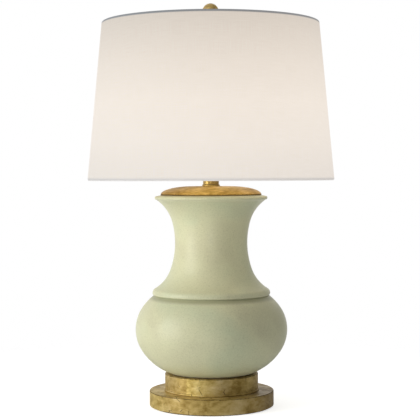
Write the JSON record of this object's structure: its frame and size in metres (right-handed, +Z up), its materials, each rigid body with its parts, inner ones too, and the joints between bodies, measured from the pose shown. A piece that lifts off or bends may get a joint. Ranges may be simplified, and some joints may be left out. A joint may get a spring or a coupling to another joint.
{
  "type": "table lamp",
  "caption": "Table lamp with a glazed baluster vase on a stepped round gilded base, a domed cap, and a tapered linen drum shade hung on a wire harp under a ball finial.",
  "frame": {"origin": "centre of the underside, on the table", "axes": "+Z up along the lamp's axis, -Y the front, +Y the back with the cord inlet, +X to the right"},
  "size_m": [0.4314, 0.4314, 0.7057],
  "materials": {
    "gilded_wood": "worn antique gilding",
    "felt": "felt",
    "rubber": "matte",
    "steel": "zinc plated",
    "celadon_glaze": "satin glaze",
    "brass": "aged satin",
    "fibre": "matte",
    "phenolic": "moulded",
    "bulb_cap_metal": "satin",
    "frosted_glass": "frosted",
    "linen": "woven linen",
    "shade_liner": "matte"
  },
  "bodies": {
    "stand": {"felt_pad": "felt", "plinth": "gilded_wood", "cord_bushing": "rubber", "riser": "gilded_wood", "lamp_pipe": "steel", "bottom_washer": "steel", "lock_washer": "steel", "bottom_nut": "steel", "vase_gasket": "rubber", "vase": "celadon_glaze", "vase_cap": "gilded_wood", "neck_flange": "brass", "neck_tube": "brass", "neck_washer": "brass", "harp_saddle": "brass", "harp": "brass", "harp_stud": "brass", "socket_cap": "brass", "socket_shell": "brass", "socket_insulator": "fibre", "switch_body": "phenolic", "terminal_screws": "brass", "screw_shell": "brass", "centre_contact": "brass"},
    "switch": {"switch_shaft": "brass", "switch_key": "phenolic"},
    "bulb_tip": {"bulb_contact": "brass"},
    "bulb": {"bulb_cap": "bulb_cap_metal", "bulb_insulator": "phenolic", "bulb_globe": "frosted_glass"},
    "sleeve_left": {"harp_sleeve_left": "brass"},
    "sleeve_right": {"harp_sleeve_right": "brass"},
    "shade": {"shade_linen": "linen", "shade_liner": "shade_liner", "shade_bottom_ring": "steel", "shade_top_ring": "steel", "spider_hub": "steel", "spider_spoke_1": "steel", "spider_spoke_2": "steel", "spider_spoke_3": "steel"},
    "finial_stem": {"finial_neck": "brass"},
    "finial": {"finial_ball": "brass"}
  },
  "joints": [
    {"name": "switch_turn", "type": "hinge", "parent": "stand", "child": "switch", "pos_m": [0, -0.03, 0.4343], "axis": [0, -1, 0], "continuous": true},
    {"name": "bulb_rise", "type": "slide", "parent": "stand", "child": "bulb_tip", "axis": [0, 0, 1], "range_m": [0, 0.0182]},
    {"name": "bulb_turn", "type": "hinge", "parent": "bulb_tip", "child": "bulb", "pos_m": [0, 0, 0.5222], "axis": [0, 0, 1], "range_deg": [0, 1800]},
    {"name": "sleeve_left_slide", "type": "slide", "parent": "stand", "child": "sleeve_left", "axis": [0, 0, 1], "range_m": [0, 0.012]},
    {"name": "sleeve_right_slide", "type": "slide", "parent": "stand", "child": "sleeve_right", "axis": [0, 0, 1], "range_m": [0, 0.012]},
    {"name": "shade_turn", "type": "hinge", "parent": "stand", "child": "shade", "pos_m": [0, 0, 0.66], "axis": [0, 0, 1], "continuous": true},
    {"name": "finial_rise", "type": "slide", "parent": "stand", "child": "finial_stem", "axis": [0, 0, 1], "range_m": [0, 0.0113]},
    {"name": "finial_turn", "type": "hinge", "parent": "finial_stem", "child": "finial", "pos_m": [0, 0, 0.691], "axis": [0, 0, 1], "range_deg": [0, 4320]}
  ],
  "couplings": [
    {"joint": "bulb_rise", "follows": "bulb_turn", "m_per_rad": 0.00057757},
    {"joint": "finial_rise", "follows": "finial_turn", "m_per_rad": 0.00014961}
  ]
}
